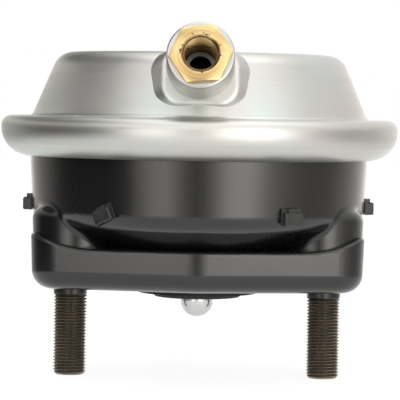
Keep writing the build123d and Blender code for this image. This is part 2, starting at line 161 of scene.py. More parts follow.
def blend_colours(tree, mask, first, second):
    """Goes from the first colour to the second as the mask goes from 0 to 1."""
    node = put(tree, "ShaderNodeMix", {"data_type": "RGBA"}, {0: mask, 6: first, 7: second})
    return node.outputs[2]


def noise(tree, place, scale, detail=2.0, roughness=0.5):
    """Cloudy value between 0 and 1."""
    given = {"Vector": place, "Scale": scale, "Detail": detail, "Roughness": roughness}
    return put(tree, "ShaderNodeTexNoise", None, given).outputs[0]


def object_place(tree):
    """Place on the object, in its own frame."""
    return put(tree, "ShaderNodeTexCoord").outputs["Object"]


def new_group(name, kind, inputs, outputs):
    """Starts a node group with named sockets; returns it with its inputs and outputs."""
    tree = bpy.data.node_groups.new(name, kind)
    for label, socket_type, default in inputs:
        socket = tree.interface.new_socket(label, in_out="INPUT", socket_type=socket_type)
        if default is not None:
            socket.default_value = default
    for label, socket_type in outputs:
        tree.interface.new_socket(label, in_out="OUTPUT", socket_type=socket_type)
    return tree, tree.nodes.new("NodeGroupInput").outputs, tree.nodes.new("NodeGroupOutput").inputs


NUMBER = "NodeSocketFloat"
COLOUR = "NodeSocketColor"
DIRECTION = "NodeSocketVector"

# ------------------------------------------------------- effects that materials share


def make_turned_lines():
    """Fine lines that run round an axis, as pressing and turning leave them."""
    tree, given, result = new_group(
        "turned lines",
        "ShaderNodeTree",
        [("Centre", DIRECTION, (0, 0, 0)), ("Tilt", NUMBER, 0.0), ("Fineness", NUMBER, 900.0)],
        [("Lines", NUMBER), ("Radius", NUMBER), ("Along", NUMBER)],
    )
    moved = put(
        tree, "ShaderNodeVectorMath", {"operation": "SUBTRACT"}, {0: object_place(tree), 1: given["Centre"]}
    )
    turned = put(
        tree,
        "ShaderNodeVectorRotate",
        {"rotation_type": "X_AXIS"},
        {"Vector": moved.outputs[0], "Angle": given["Tilt"]},
    )
    part = put(tree, "ShaderNodeSeparateXYZ", None, {0: turned.outputs[0]}).outputs
    square = calc(tree, "MULTIPLY_ADD", part[1], part[1], calc(tree, "MULTIPLY", part[0], part[0]))
    radius = calc(tree, "SQRT", square)
    drift = calc(tree, "MULTIPLY", noise(tree, moved.outputs[0], 25.0), 0.0015)
    ring_place = put(tree, "ShaderNodeCombineXYZ", None, {0: radius, 1: part[2], 2: drift}).outputs[0]
    tree.links.new(noise(tree, ring_place, given["Fineness"], 3.0), result["Lines"])
    tree.links.new(radius, result["Radius"])
    tree.links.new(part[2], result["Along"])
    return tree


def make_patches():
    """Soft patches between two colours, as plating, oil film and heat leave them."""
    tree, given, result = new_group(
        "patches",
        "ShaderNodeTree",
        [
            ("First", COLOUR, None),
            ("Second", COLOUR, None),
            ("Scale", NUMBER, 20.0),
            ("Contrast", NUMBER, 0.2),
        ],
        [("Colour", COLOUR), ("Mask", NUMBER)],
    )
    cloud = noise(tree, object_place(tree), given["Scale"], 4.0)
    low = calc(tree, "SUBTRACT", 0.5, given["Contrast"])
    high = calc(tree, "ADD", 0.5, given["Contrast"])
    mask = spread(tree, cloud, low, high)
    tree.links.new(blend_colours(tree, mask, given["First"], given["Second"]), result["Colour"])
    tree.links.new(mask, result["Mask"])
    return tree


def make_dust():
    """Thin dust that lies on what faces up and clings in specks elsewhere."""
    tree, given, result = new_group(
        "dust",
        "ShaderNodeTree",
        [("Amount", NUMBER, 0.2), ("Scale", NUMBER, 400.0)],
        [("Mask", NUMBER)],
    )
    place = object_place(tree)
    normal = put(tree, "ShaderNodeNewGeometry").outputs["Normal"]
    up = put(tree, "ShaderNodeSeparateXYZ", None, {0: normal}).outputs[2]
    lying = spread(tree, up, -0.3, 1.0, 0.25, 1.0)
    specks = spread(tree, noise(tree, place, given["Scale"], 5.0, 0.7), 0.52, 0.8)
    clouds = spread(tree, noise(tree, place, 18.0, 3.0), 0.35, 0.75)
    mask = calc(tree, "MULTIPLY", calc(tree, "MULTIPLY", specks, clouds), lying)
    tree.links.new(calc(tree, "MULTIPLY", mask, given["Amount"]), result["Mask"])
    return tree


def make_skin():
    """Fine unevenness of a painted, moulded or cast skin, as a height."""
    tree, given, result = new_group(
        "skin",
        "ShaderNodeTree",
        [("Fine", NUMBER, 1500.0), ("Coarse", NUMBER, 200.0), ("Share", NUMBER, 0.4)],
        [("Height", NUMBER)],
    )
    place = object_place(tree)
    fine = calc(tree, "MULTIPLY", noise(tree, place, given["Fine"], 2.0), given["Share"])
    coarse = noise(tree, place, given["Coarse"], 2.0)
    tree.links.new(calc(tree, "ADD", fine, coarse), result["Height"])
    return tree


def make_edge_wear():
    """Mask of outer edges where handling has rubbed the finish."""
    tree, given, result = new_group(
        "edge wear",
        "ShaderNodeTree",
        [("Width", NUMBER, 0.0006), ("Amount", NUMBER, 0.6)],
        [("Mask", NUMBER)],
    )
    rounded = put(tree, "ShaderNodeBevel", {"samples": 6}, {"Radius": given["Width"]}).outputs[0]
    normal = put(tree, "ShaderNodeNewGeometry").outputs["Normal"]
    both = put(tree, "ShaderNodeVectorMath", {"operation": "DOT_PRODUCT"}, {0: rounded, 1: normal})
    edge = spread(tree, both.outputs["Value"], 0.995, 0.88)
    rub = spread(tree, noise(tree, object_place(tree), 700.0, 3.0), 0.35, 0.65)
    mask = calc(tree, "MULTIPLY", calc(tree, "MULTIPLY", edge, rub), given["Amount"])
    tree.links.new(mask, result["Mask"])
    return tree


turned_lines = make_turned_lines()
patches = make_patches()
dust = make_dust()
skin = make_skin()
edge_wear = make_edge_wear()


def place_group(tree, group, **values):
    """Puts a shared effect into a material with its own values."""
    sockets = {name.replace("_", " "): value for name, value in values.items()}
    return put(tree, "ShaderNodeGroup", {"node_tree": group}, sockets).outputs


# --------------------------------------------------------------------------- materials

SILVER = (0.60, 0.61, 0.595, 1)
WARM_SILVER = (0.58, 0.565, 0.525, 1)
BOSS_GREY = (0.56, 0.56, 0.53, 1)
BOSS_BROWN = (0.50, 0.48, 0.43, 1)
PAINT_BLACK = (0.004, 0.0039, 0.0038, 1)
PAINT_WARM = (0.008, 0.0075, 0.007, 1)
BRASS_LIGHT = (0.66, 0.47, 0.20, 1)
BRASS_DARK = (0.50, 0.33, 0.13, 1)
BRASS_CUT = (0.74, 0.62, 0.38, 1)
BRASS_NICK = (0.10, 0.045, 0.02, 1)
# dark brown painted as shade in the brass thread roots and the bore's plain far end
BRASS_ROOT_SHADE = (0.075, 0.032, 0.012, 1)
CREST_BRONZE = (0.44, 0.34, 0.22, 1)
CREST_BROWN = (0.24, 0.19, 0.13, 1)
# near black: painted shade in the stud's thread roots, and the real black of the stud's plain band
ROOT_SHADE_AND_BAND_BLACK = (0.022, 0.018, 0.014, 1)
SPRING_BLACK = (0.030, 0.029, 0.027, 1)
SPRING_OIL = (0.060, 0.052, 0.043, 1)
RUBBER_BLACK = (0.012, 0.012, 0.012, 1)
RUBBER_BLOOM = (0.022, 0.021, 0.020, 1)
NYLON_BLACK = (0.014, 0.014, 0.014, 1)
NYLON_GREY = (0.024, 0.023, 0.022, 1)
COOL_TINT = (0.94, 1.0, 0.985, 1)
WARM_TINT = (1.0, 0.955, 0.965, 1)
WORKED_GREY = (0.40, 0.40, 0.39, 1)
RUBBED_STEEL = (0.8, 0.8, 0.78, 1)
RUBBED_PAINT = (0.10, 0.10, 0.10, 1)
RUBBED_NYLON = (0.12, 0.12, 0.115, 1)
DUST_ON_METAL = (0.30, 0.29, 0.27, 1)
DUST_ON_PAINT = (0.11, 0.105, 0.095, 1)
DUST_ON_RUBBER = (0.13, 0.125, 0.115, 1)


def start_material(name, **numbers):
    """A material with its shader and its plain numbers; returns it, its tree and its shader."""
    material = bpy.data.materials.new(name)
    material.use_nodes = True
    tree = material.node_tree
    shader = tree.nodes["Principled BSDF"]
    for label, value in numbers.items():
        shader.inputs[label.replace("_", " ")].default_value = value
    return material, tree, shader


def feed(tree, shader, name, value):
    """Links a value to one of the shader's sockets."""
    tree.links.new(value, shader.inputs[name])


def raise_surface(tree, shader, height, strength, distance):
    """Lets a height show as relief."""
    bump = put(tree, "ShaderNodeBump", None, {"Strength": strength, "Distance": distance, "Height": height})
    feed(tree, shader, "Normal", bump.outputs[0])


def plated_metal(name, first, second, centre, tilt, fineness, roughness, relief):
    """Satin plating over pressed or turned steel, with its working lines."""
    material, tree, shader = start_material(name, Metallic=1.0)
    lines = place_group(tree, turned_lines, Centre=centre, Tilt=tilt, Fineness=fineness)
    tones = place_group(tree, patches, First=first, Second=second, Scale=24.0, Contrast=0.2)
    tint = place_group(tree, patches, First=COOL_TINT, Second=WARM_TINT, Scale=38.0, Contrast=0.12)
    grime = place_group(tree, dust, Amount=0.10, Scale=500.0)
    tinted = put(
        tree,
        "ShaderNodeMix",
        {"data_type": "RGBA", "blend_type": "MULTIPLY"},
        {0: 0.8, 6: tones["Colour"], 7: tint["Colour"]},
    ).outputs[2]
    worked = spread(tree, lines["Lines"], 0.3, 0.7, 0.0, 0.12)
    bright = blend_colours(tree, worked, tinted, WORKED_GREY)
    feed(tree, shader, "Base Color", blend_colours(tree, grime["Mask"], bright, DUST_ON_METAL))
    haze = spread(tree, lines["Lines"], 0.3, 0.7, roughness - 0.03, roughness + 0.05)
    feed(tree, shader, "Roughness", calc(tree, "ADD", haze, calc(tree, "MULTIPLY", grime["Mask"], 0.5)))
    grain = place_group(tree, skin, Fine=2200.0, Coarse=650.0, Share=0.6)
    height = calc(tree, "ADD", lines["Lines"], calc(tree, "MULTIPLY", grain["Height"], 0.5))
    raise_surface(tree, shader, height, relief, 0.05 * MM)
    return material


def black_paint():
    """Stoved black paint with faint orange peel and a little dust."""
    material, tree, shader = start_material(
        "black paint", Coat_Weight=0.4, Coat_Roughness=0.16, Specular_IOR_Level=0.5
    )
    tones = place_group(tree, patches, First=PAINT_BLACK, Second=PAINT_WARM, Scale=14.0, Contrast=0.2)
    grime = place_group(tree, dust, Amount=0.25, Scale=900.0)
    rubbed = place_group(tree, edge_wear, Width=0.8 * MM, Amount=0.10)
    painted = blend_colours(tree, grime["Mask"], tones["Colour"], DUST_ON_PAINT)
    feed(tree, shader, "Base Color", blend_colours(tree, rubbed["Mask"], painted, RUBBED_PAINT))
    rough = spread(tree, tones["Mask"], 0.0, 1.0, 0.22, 0.28)
    feed(tree, shader, "Roughness", calc(tree, "ADD", rough, calc(tree, "MULTIPLY", grime["Mask"], 0.8)))
    peel = place_group(tree, skin, Fine=1400.0, Coarse=330.0, Share=0.35)
    raise_surface(tree, shader, peel["Height"], 0.25, 0.08 * MM)
    return material


def machined_brass():
    """Bright brass with tool marks, dark brown painted shade in the thread roots and small nicks round the
    bore.
    """
    material, tree, shader = start_material("machined brass", Metallic=1.0)
    lines = place_group(tree, turned_lines, Centre=PORT_ORIGIN, Tilt=PORT_AXIS_TILT, Fineness=1600.0)
    tones = place_group(tree, patches, First=BRASS_LIGHT, Second=BRASS_DARK, Scale=150.0, Contrast=0.14)
    marks = spread(tree, lines["Lines"], 0.4, 0.7)
    bright = blend_colours(tree, calc(tree, "MULTIPLY", marks, 0.6), tones["Colour"], BRASS_CUT)
    from_mouth = calc(tree, "ABSOLUTE", calc(tree, "SUBTRACT", lines["Radius"], MOUTH_RADIUS + 0.3 * MM))
    near_mouth = spread(tree, from_mouth, 0.3 * MM, 1.0 * MM, 1.0, 0.0)
    chips = spread(tree, noise(tree, object_place(tree), 620.0, 2.0), 0.60, 0.66)
    nicked = blend_colours(tree, calc(tree, "MULTIPLY", near_mouth, chips), bright, BRASS_NICK)
    crest = put(tree, "ShaderNodeAttribute", {"attribute_name": "crest"}).outputs["Fac"]
    # painted shade: the thread roots and the bore's plain far end take the dark brown, the crests the brass
    feed(tree, shader, "Base Color", blend_colours(tree, crest, BRASS_ROOT_SHADE, nicked))
    feed(tree, shader, "Roughness", spread(tree, tones["Mask"], 0.0, 1.0, 0.26, 0.38))
    raise_surface(tree, shader, lines["Lines"], 0.5, 0.06 * MM)
    return material


def stud_finish():
    """Dark phosphate with bronze-brown thread crests; the thread roots are painted near black as shade, and
    the plain band has the same black as its real paint.
    """
    material, tree, shader = start_material("stud finish", Specular_IOR_Level=0.6)
    lines = place_group(tree, turned_lines, Centre=(0, 0, 0), Tilt=0.0, Fineness=2500.0)
    tones = place_group(tree, patches, First=CREST_BRONZE, Second=CREST_BROWN, Scale=150.0, Contrast=0.2)
    crest = put(tree, "ShaderNodeAttribute", {"attribute_name": "crest"}).outputs["Fac"]
    # painted shade: the thread roots go near black; on the plain band the same black is the real paint
    feed(tree, shader, "Base Color", blend_colours(tree, crest, ROOT_SHADE_AND_BAND_BLACK, tones["Colour"]))
    feed(tree, shader, "Metallic", spread(tree, crest, 0.0, 1.0, 0.25, 0.85))
    feed(tree, shader, "Roughness", spread(tree, crest, 0.0, 1.0, 0.24, 0.34))
    raise_surface(tree, shader, lines["Lines"], 0.1, 0.04 * MM)
    return material


def bright_steel(name, tone, roughness):
    """Bare or lightly plated steel with turning marks and faint stains."""
    material, tree, shader = start_material(name, Metallic=1.0)
    lines = place_group(tree, turned_lines, Centre=(0, 0, 0), Tilt=0.0, Fineness=1800.0)
    dull = tuple(0.62 * part for part in tone[:3]) + (1,)
    tones = place_group(tree, patches, First=tone, Second=dull, Scale=90.0, Contrast=0.25)
    worn = place_group(tree, edge_wear, Width=0.5 * MM, Amount=0.5)
    feed(tree, shader, "Base Color", blend_colours(tree, worn["Mask"], tones["Colour"], RUBBED_STEEL))
    rough = spread(tree, lines["Lines"], 0.3, 0.7, roughness - 0.06, roughness + 0.08)
    feed(tree, shader, "Roughness", rough)
    raise_surface(tree, shader, lines["Lines"], 0.4, 0.05 * MM)
    return material


def spring_paint():
    """Black phosphate and oil on spring wire."""
    material, tree, shader = start_material("spring paint", Metallic=0.35)
    tones = place_group(tree, patches, First=SPRING_BLACK, Second=SPRING_OIL, Scale=120.0, Contrast=0.2)
    feed(tree, shader, "Base Color", tones["Colour"])
    feed(tree, shader, "Roughness", spread(tree, tones["Mask"], 0.0, 1.0, 0.38, 0.52))
    grain = place_group(tree, skin, Fine=2600.0, Coarse=700.0, Share=0.5)
    raise_surface(tree, shader, grain["Height"], 0.4, 0.08 * MM)
    return material


def moulded_rubber():
    """Matt black rubber with bloom and dust."""
    material, tree, shader = start_material("moulded rubber", Specular_IOR_Level=0.35)
    tones = place_group(tree, patches, First=RUBBER_BLACK, Second=RUBBER_BLOOM, Scale=60.0, Contrast=0.2)
    grime = place_group(tree, dust, Amount=0.5, Scale=700.0)
    feed(tree, shader, "Base Color", blend_colours(tree, grime["Mask"], tones["Colour"], DUST_ON_RUBBER))
    feed(tree, shader, "Roughness", spread(tree, tones["Mask"], 0.0, 1.0, 0.55, 0.70))
    grain = place_group(tree, skin, Fine=3000.0, Coarse=900.0, Share=0.6)
    raise_surface(tree, shader, grain["Height"], 0.5, 0.08 * MM)
    return material


def moulded_plastic():
    """Black moulded nylon, a little shiny where it has been rubbed."""
    material, tree, shader = start_material("moulded plastic", Specular_IOR_Level=0.6)
    tones = place_group(tree, patches, First=NYLON_BLACK, Second=NYLON_GREY, Scale=200.0, Contrast=0.2)
    rubbed = place_group(tree, edge_wear, Width=0.5 * MM, Amount=0.55)
    feed(tree, shader, "Base Color", blend_colours(tree, rubbed["Mask"], tones["Colour"], RUBBED_NYLON))
    feed(tree, shader, "Roughness", spread(tree, tones["Mask"], 0.0, 1.0, 0.36, 0.48))
    grain = place_group(tree, skin, Fine=2600.0, Coarse=800.0, Share=0.5)
    raise_surface(tree, shader, grain["Height"], 0.4, 0.06 * MM)
    return material


finishes = {
    "zinc": plated_metal(
        "zinc plating", SILVER, WARM_SILVER, (0, 0, 0), 0.0, fineness=420.0, roughness=0.42, relief=0.35
    ),
    "zinc_boss": plated_metal(
        "turned zinc",
        BOSS_GREY,
        BOSS_BROWN,
        PORT_ORIGIN,
        PORT_AXIS_TILT,
        fineness=1500.0,
        roughness=0.32,
        relief=0.6,
    ),
    "brass": machined_brass(),
    "black_paint": black_paint(),
    "stud_steel": stud_finish(),
    "plain_steel": bright_steel("pressed steel", (0.42, 0.42, 0.41, 1), roughness=0.36),
    "spring_steel": spring_paint(),
    "rod_steel": bright_steel("bright rod steel", (0.72, 0.72, 0.71, 1), roughness=0.22),
    "black_rubber": moulded_rubber(),
    "plug_plastic": moulded_plastic(),
}

node_finishes = {
    "cover": "zinc",
    "port_boss": "zinc_boss",
    "port_insert": "brass",
    "body": "black_paint",
    "stud_plate": "plain_steel",
    "stud_left": "stud_steel",
    "stud_right": "stud_steel",
    "diaphragm": "black_rubber",
    "push_plate": "plain_steel",
    "rod_socket": "plain_steel",
    "socket_ring": "plain_steel",
    "push_rod": "rod_steel",
    "bellows_clip": "plain_steel",
    "bellows": "black_rubber",
    "rod_seal": "black_rubber",
    "return_spring": "spring_steel",
}
node_finishes.update({f"plug_{number}": "plug_plastic" for number in range(1, 7)})

for node_name, finish in node_finishes.items():
    for material_slot in nodes[node_name].material_slots:
        material_slot.material = finishes[finish]

# ----------------------------------------------------------------------- mesh building


def new_piece(name, mesh, finish, body, *stands_for):
    """Names a finished mesh, gives it its finish and lets it ride on its body."""
    piece = bpy.data.objects.new(name, mesh)
    bpy.context.scene.collection.objects.link(piece)
    if not mesh.materials:
        mesh.materials.append(finishes[finish])
    if stands_for:
        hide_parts(*stands_for)
    if body:
        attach(piece, body)
    return piece


def tidy_mesh(mesh):
    """Merges what coincides, closes the poles and turns every face outwards."""
    shape = bmesh.new()
    shape.from_mesh(mesh)
    bmesh.ops.remove_doubles(shape, verts=shape.verts, dist=POINT_MERGE / 2)
    bmesh.ops.dissolve_degenerate(shape, edges=shape.edges, dist=POINT_MERGE / 4)
    bmesh.ops.recalc_face_normals(shape, faces=shape.faces)
    for face in shape.faces:
        face.smooth = True
    shape.to_mesh(mesh)
    shape.free()
    return mesh


def ring_mesh(name, rows, steps):
    """Closed surface through rows of (radius, height), turned round the upright axis."""
    shape = bmesh.new()
    angles = [2 * pi * step / steps for step in range(steps)]
    loops = []
    for radius, height in rows:
        places = [(radius * cos(angle), radius * sin(angle), height) for angle in angles]
        loops.append([shape.verts.new(place) for place in places])
    for lower, upper in zip(loops, loops[1:] + loops[:1]):
        for step in range(steps):
            after = (step + 1) % steps
            shape.faces.new((lower[step], lower[after], upper[after], upper[step]))
    mesh = bpy.data.meshes.new(name)
    shape.to_mesh(mesh)
    shape.free()
    return tidy_mesh(mesh)


def grow(name, tree, values):
    """Runs a geometry node tree with named values and returns the plain mesh it makes."""
    carrier = bpy.data.objects.new(name, bpy.data.meshes.new(name))
    bpy.context.scene.collection.objects.link(carrier)
    modifier = carrier.modifiers.new(name, "NODES")
    modifier.node_group = tree
    for item in tree.interface.items_tree:
        if item.in_out == "INPUT" and item.name in values:
            modifier[item.identifier] = values[item.name]
    evaluated = carrier.evaluated_get(bpy.context.evaluated_depsgraph_get())
    mesh = bpy.data.meshes.new_from_object(evaluated)
    bpy.data.objects.remove(carrier)
    mesh.name = name
    return mesh


def finish_surface(tree, real, given, result):
    """Ends a geometry node tree: its finish goes on what it has made."""
    sockets = {"Geometry": real.outputs[0], "Material": given["Finish"]}
    finished = put(tree, "GeometryNodeSetMaterial", None, sockets)
    tree.links.new(finished.outputs[0], result["Geometry"])


# ------------------------------------------------------------------------------ threads


def make_thread_tree():
    """Threaded surface whose rows follow the helix, from height 0 up to its length.

    Side is 1 for a screw and -1 for a nut. The surface leaves the thread in a cone at
    height 0, which starts at the tip radius, and in a plain band at the other end.
    """
    tree, given, result = new_group(
        "thread",
        "GeometryNodeTree",
        [
            ("Crest radius", NUMBER, 0.008),
            ("Depth", NUMBER, 0.0009),
            ("Pitch", NUMBER, 0.0015),
            ("Length", NUMBER, 0.04),
            ("Tip radius", NUMBER, 0.0064),
            ("Plain length", NUMBER, 0.005),
            ("Plain radius", NUMBER, 0.008),
            ("Side", NUMBER, 1.0),
            ("Steps round", "NodeSocketInt", 72),
            ("Finish", "NodeSocketMaterial", None),
        ],
        [("Geometry", "NodeSocketGeometry")],
    )
    turns = calc(tree, "ADD", calc(tree, "CEIL", calc(tree, "DIVIDE", given["Length"], given["Pitch"])), 1.0)
    rows = calc(tree, "ADD", calc(tree, "MULTIPLY", turns, float(THREAD_ROWS_PER_TURN)), 1.0)
    columns = calc(tree, "ADD", given["Steps round"], 1.0)
    grid = put(tree, "GeometryNodeMeshGrid", None, {0: 1.0, 1: 1.0, 2: columns, 3: rows})
    place = put(tree, "GeometryNodeInputPosition").outputs[0]
    part = put(tree, "ShaderNodeSeparateXYZ", None, {0: place}).outputs
    round_share = calc(tree, "ADD", part[0], 0.5)
    turn = calc(tree, "MULTIPLY", calc(tree, "ADD", part[1], 0.5), turns)
    height = calc(tree, "ADD", turn, calc(tree, "SUBTRACT", round_share, 1.0))
    height = calc(tree, "MULTIPLY", height, given["Pitch"])
    height = calc(tree, "MINIMUM", calc(tree, "MAXIMUM", height, 0.0), given["Length"])
    phase = calc(tree, "FRACT", calc(tree, "ADD", turn, 0.5))
    away = calc(tree, "MULTIPLY", calc(tree, "ABSOLUTE", calc(tree, "SUBTRACT", phase, 0.5)), 2.0)
    fall = spread(tree, away, THREAD_CREST_SHARE, THREAD_ROOT_SHARE)
    side = given["Side"]
    signed_crest = calc(tree, "MULTIPLY", given["Crest radius"], side)
    threaded = calc(tree, "SUBTRACT", signed_crest, calc(tree, "MULTIPLY", fall, given["Depth"]))
    signed_plain = calc(tree, "MULTIPLY", given["Plain radius"], side)
    plain_from = calc(tree, "SUBTRACT", given["Length"], given["Plain length"])
    into_plain = calc(tree, "DIVIDE", calc(tree, "SUBTRACT", height, plain_from), given["Pitch"])
    short_of_plain = calc(tree, "MINIMUM", calc(tree, "SUBTRACT", into_plain, 1.0), 0.0)
    runout = calc(tree, "ADD", signed_plain, calc(tree, "MULTIPLY", short_of_plain, given["Depth"]))
    signed_tip = calc(tree, "MULTIPLY", given["Tip radius"], side)
    cone = calc(tree, "ADD", signed_tip, height)
    reach = calc(tree, "MINIMUM", calc(tree, "MAXIMUM", threaded, runout), cone)
    radius = calc(tree, "MULTIPLY", reach, side)
    angle = calc(tree, "MULTIPLY", round_share, 2 * pi)
    sideways = calc(tree, "MULTIPLY", radius, calc(tree, "COSINE", angle))
    forwards = calc(tree, "MULTIPLY", radius, calc(tree, "SINE", angle))
    bent = put(tree, "ShaderNodeCombineXYZ", None, {0: sideways, 1: forwards, 2: height}).outputs[0]
    # the crest value colours the thread: 1 on the crests and the cone, 0 in the roots and the band; the
    # finishes use it to paint shade into the roots
    depth_share = calc(tree, "DIVIDE", calc(tree, "SUBTRACT", signed_crest, reach), given["Depth"])
    on_cone = calc(tree, "GREATER_THAN", depth_share, 1.02)
    crest = calc(tree, "MAXIMUM", spread(tree, depth_share, 0.65, 0.1), on_cone)
    off_band = calc(tree, "SUBTRACT", 1.0, calc(tree, "GREATER_THAN", into_plain, 0.4))
    crest = calc(tree, "MULTIPLY", crest, off_band)
    marked = put(
        tree,
        "GeometryNodeStoreNamedAttribute",
        {"data_type": "FLOAT", "domain": "POINT"},
        {"Geometry": grid.outputs[0], "Name": "crest", "Value": crest},
    )
    shaped = put(tree, "GeometryNodeSetPosition", None, {"Geometry": marked.outputs[0], "Position": bent})
    real = put(tree, "GeometryNodeRealizeInstances", None, {"Geometry": shaped.outputs[0]})
    finish_surface(tree, real, given, result)
    return tree


def close_thread(name, mesh, finish, rows, steps, ring=None):
    """Carries a thread's far end on through rows of (radius, height), then closes it.

    The rows go from the thread's far end to a cap, or back to its near end where the
    last of them lies on it. A ring function gives each row's own radius and height.
    """
    shape = bmesh.new()
    shape.from_mesh(mesh)
    crest = shape.verts.layers.float["crest"]
    loops = []
    for row, (radius, height) in enumerate(rows):
        loop = []
        for step in range(steps):
            angle = 2 * pi * step / steps
            reach, level = ring(row, radius, height, angle) if ring else (radius, height)
            point = shape.verts.new((reach * cos(angle), reach * sin(angle), level))
            point[crest] = 1.0 if ring else 0.0
            loop.append(point)
        loops.append(loop)
    for lower, upper in zip(loops, loops[1:]):
        for step in range(steps):
            after = (step + 1) % steps
            shape.faces.new((lower[step], lower[after], upper[after], upper[step]))
    bmesh.ops.remove_doubles(shape, verts=shape.verts, dist=POINT_MERGE)
    bmesh.ops.dissolve_degenerate(shape, edges=shape.edges, dist=POINT_MERGE / 2)
    open_edges = [edge for edge in shape.edges if edge.is_boundary]
    filled = bmesh.ops.holes_fill(shape, edges=open_edges, sides=0)
    bmesh.ops.poke(shape, faces=filled["faces"])
    bmesh.ops.recalc_face_normals(shape, faces=shape.faces)
    for face in shape.faces:
        face.smooth = True
        face.material_index = 0
    closed = bpy.data.meshes.new(name)
    shape.to_mesh(closed)
    shape.free()
    closed.materials.append(finishes[finish])
    closed.set_sharp_from_angle(angle=SHARP_EDGE)
    return closed


thread_tree = make_thread_tree()


def make_stud(side):
    """Stud with its threaded end, its neck in the foot and its head on the plate."""
    thread = grow(
        f"stud_{side}_thread",
        thread_tree,
        {
            "Crest radius": STUD_RADIUS,
            "Depth": THREAD_DEPTH,
            "Pitch": THREAD_PITCH,
            "Length": STUD_REACH,
            "Tip radius": STUD_TIP_RADIUS,
            "Plain length": STUD_PLAIN,
            "Plain radius": STUD_RADIUS,
            "Side": 1.0,
            "Steps round": THREAD_STEPS,
            "Finish": finishes["stud_steel"],
        },
    )
    upper_rows = [
        (STUD_RADIUS, STUD_REACH),
        (STUD_NECK_RADIUS, STUD_REACH),
        (STUD_NECK_RADIUS, STUD_REACH + STUD_SEAT),
        (STUD_HEAD_RADIUS, STUD_REACH + STUD_SEAT),
        (STUD_HEAD_RADIUS, STUD_REACH + STUD_TOP),
    ]
    mesh = close_thread(f"threaded_stud_{side}", thread, "stud_steel", upper_rows, THREAD_STEPS)
    mesh.transform(Matrix.Translation((STUD_PLACES[side], 0, -STUD_REACH)))
    new_piece(f"threaded_stud_{side}", mesh, "stud_steel", "housing", f"stud_{side}")


def make_insert():
    """Brass insert: threaded bore, hexagon head with its corners turned down, round body."""
    depth = BOSS_LENGTH + INSERT_HEAD - INSERT_TAIL
    bore = grow(
        "insert_bore",
        thread_tree,
        {
            "Crest radius": BORE_RADIUS,
            "Depth": BORE_THREAD_DEPTH,
            "Pitch": THREAD_PITCH,
            "Length": depth,
            "Tip radius": MOUTH_RADIUS,
            "Plain length": THREAD_PITCH,
            "Plain radius": BORE_RADIUS,
            "Side": -1.0,
            "Steps round": THREAD_STEPS,
            "Finish": finishes["brass"],
        },
    )
    hex_rows = (2, 3)

    def hexagon(row, radius, height, angle):
        if row not in hex_rows:
            return radius, height
        reach = INSERT_HEX / 2 / cos(angle % (pi / 3) - pi / 6)
        turned_down = max(reach - INSERT_FACE_RADIUS, 0) * tan(pi / 6)
        return reach, turned_down if row == hex_rows[0] else height

    outer_rows = [
        (MOUTH_RADIUS, 0),
        (INSERT_FACE_RADIUS, 0),
        (INSERT_HEX / 2, 0),
        (INSERT_HEX / 2, INSERT_HEAD),
        (INSERT_RADIUS, INSERT_HEAD),
        (INSERT_RADIUS, depth),
        (BORE_RADIUS, depth),
    ]
    mesh = close_thread("threaded_insert", bore, "brass", outer_rows, THREAD_STEPS, hexagon)
    outward = Vector((0, -cos(PORT_TILT), sin(PORT_TILT)))
    face = Matrix.Translation(PORT_ORIGIN + outward * (BOSS_LENGTH + INSERT_HEAD))
    inward = Matrix.Rotation(pi / 2 - PORT_TILT, 4, "X") @ Matrix.Rotation(pi, 4, "X")
    mesh.transform(face @ inward @ Matrix.Rotation(-INSERT_TURN, 4, "Z"))
    new_piece("threaded_insert", mesh, "brass", "housing", "port_insert")


for stud_side in STUD_PLACES:
    make_stud(stud_side)
make_insert()

# --------------------------------------------------------------------- return spring


def make_spring_tree():
    """Wire wound round an upright cone."""
    tree, given, result = new_group(
        "wound wire",
        "GeometryNodeTree",
        [
            ("Turns", NUMBER, 5.0),
            ("Low radius", NUMBER, 0.038),
            ("High radius", NUMBER, 0.022),
            ("Height", NUMBER, 0.08),
            ("Wire radius", NUMBER, 0.0025),
            ("Finish", "NodeSocketMaterial", None),
        ],
        [("Geometry", "NodeSocketGeometry")],
    )
    coil = put(
        tree,
        "GeometryNodeCurveSpiral",
        None,
        {
            "Resolution": 40,
            "Rotations": given["Turns"],
            "Start Radius": given["Low radius"],
            "End Radius": given["High radius"],
            "Height": given["Height"],
        },
    )
    section = put(
        tree, "GeometryNodeCurvePrimitiveCircle", None, {"Resolution": 20, "Radius": given["Wire radius"]}
    )
    wire = put(
        tree,
        "GeometryNodeCurveToMesh",
        None,
        {"Curve": coil.outputs[0], "Profile Curve": section.outputs[0], "Fill Caps": True},
    )
    real = put(tree, "GeometryNodeRealizeInstances", None, {"Geometry": wire.outputs[0]})
    finish_surface(tree, real, given, result)
    return tree


spring_mesh = grow(
    "wound_spring",
    make_spring_tree(),
    {
        "Turns": SPRING_TURNS,
        "Low radius": SPRING_RADII[0],
        "High radius": SPRING_RADII[1],
        "Height": SPRING_ENDS[1] - SPRING_ENDS[0],
        "Wire radius": SPRING_WIRE / 2,
        "Finish": finishes["spring_steel"],
    },
)
spring_mesh.transform(Matrix.Translation((0, 0, SPRING_ENDS[0])))
wound_spring = new_piece("wound_spring", tidy_mesh(spring_mesh), "spring_steel", "housing", "return_spring")
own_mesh(wound_spring)

# ------------------------------------------------------------------------- soft pieces


def between(share, before, start, end, after):
    """Number at a share of the way from start to end, on a smooth run through all four."""
    straight = (end - before) * share
    square = (2 * before - 5 * start + 4 * end - after) * share * share
    cube = (3 * start - before - 3 * end + after) * share**3
    return 0.5 * (2 * start + straight + square + cube)


def soft_line(points, parts):
    """Smooth line through points, with a number of parts between each two."""
    line = []
    for index in range(len(points) - 1):
        before = points[max(index - 1, 0)]
        start, end = points[index], points[index + 1]
        after = points[min(index + 2, len(points) - 1)]
        for step in range(parts):
            line.append(
                tuple(between(step / parts, *numbers) for numbers in zip(before, start, end, after))
            )
    return line + [tuple(points[-1])]


